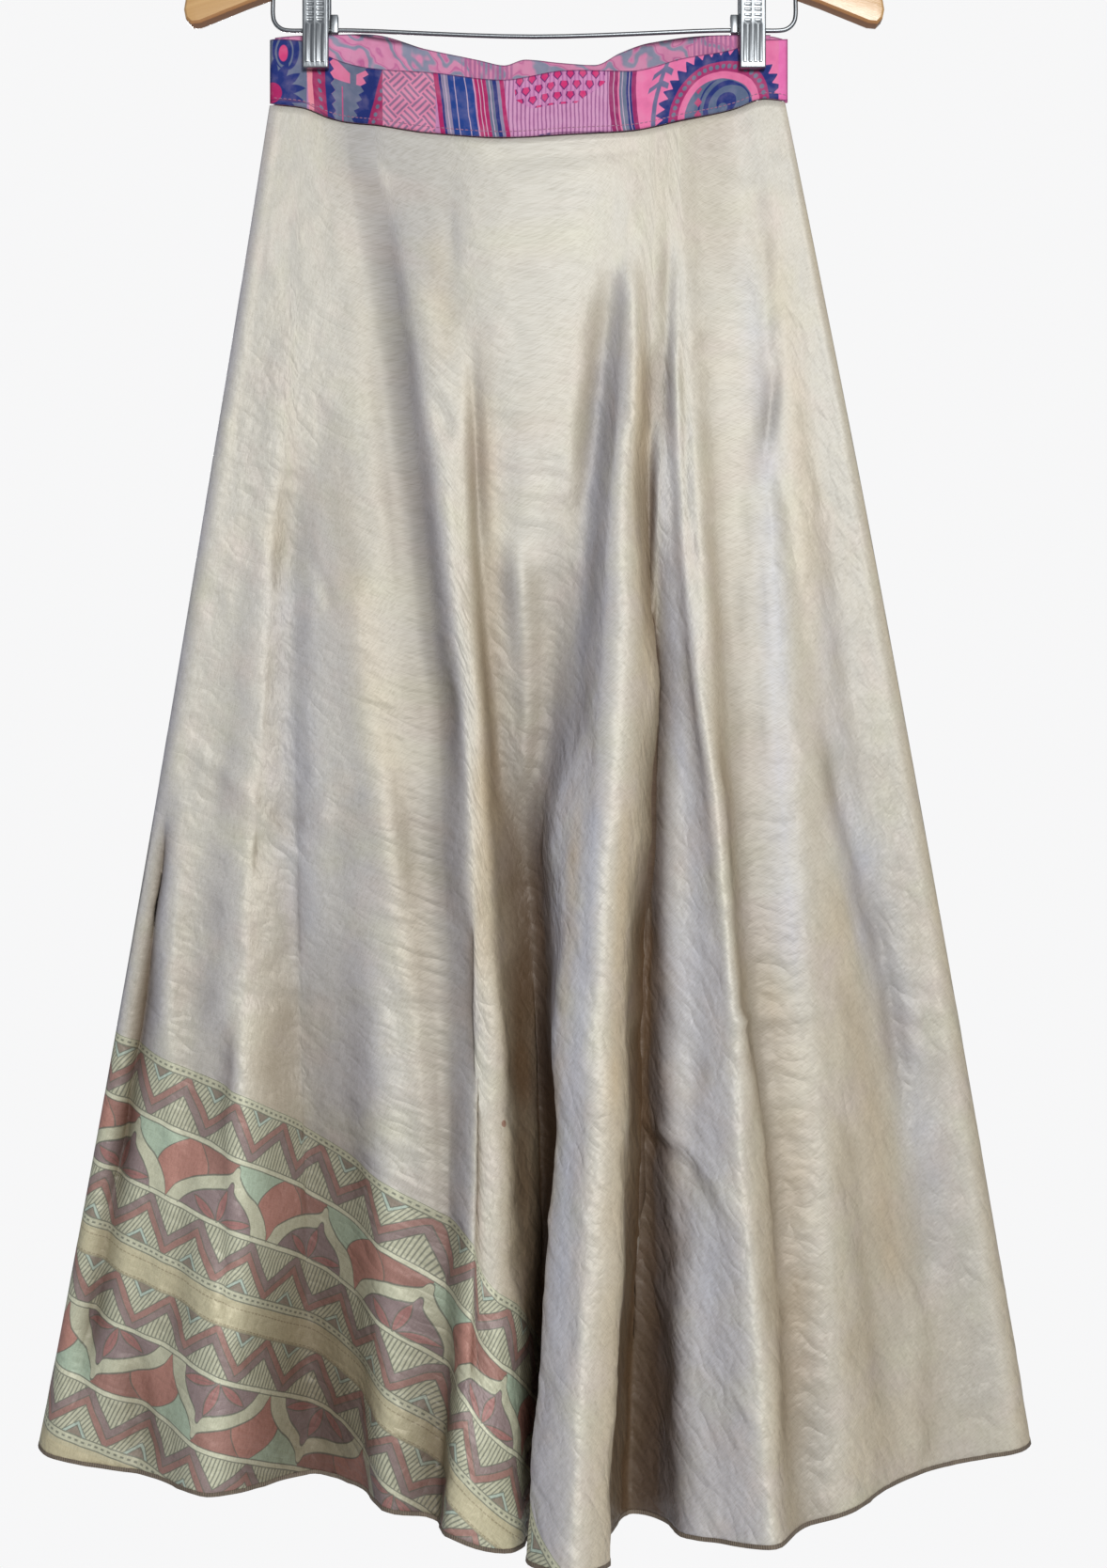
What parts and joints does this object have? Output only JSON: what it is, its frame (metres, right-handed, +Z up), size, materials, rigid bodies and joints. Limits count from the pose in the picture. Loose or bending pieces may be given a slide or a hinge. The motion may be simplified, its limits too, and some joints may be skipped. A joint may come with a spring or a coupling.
{
  "type": "wrap skirt on clip hanger",
  "caption": "Long flared wrap skirt in cream silk with a printed waistband and a printed border at one side of its hem, held by clips on a wooden hanger",
  "frame": {"origin": "the point inside the top of the hook where the hanger rests on a rail", "axes": "+Z up, +X to the viewer's right when facing the front of the skirt, and the front faces -Y"},
  "size_m": [0.6524, 0.2369, 1.1304],
  "materials": {
    "silk": "slubby cream sari silk with a soft satin sheen",
    "waistband": "printed sari silk in pink, lilac, grey and navy, topstitched",
    "wood": "light lacquered hardwood",
    "steel": "bright plated steel"
  },
  "bodies": {
    "root": {"front_panel": "silk", "under_panel": "silk", "over_panel": "silk", "front_waistband": "waistband", "under_waistband": "waistband", "over_waistband": "waistband", "left_tie": "waistband", "right_tie": "waistband", "hanger_arms": "wood", "hanger_hook": "steel", "hanger_bar": "steel", "left_clip_front": "steel", "left_clip_back": "steel", "left_clip_tongue": "steel", "right_clip_front": "steel", "right_clip_back": "steel", "right_clip_tongue": "steel"}
  },
  "joints": []
}
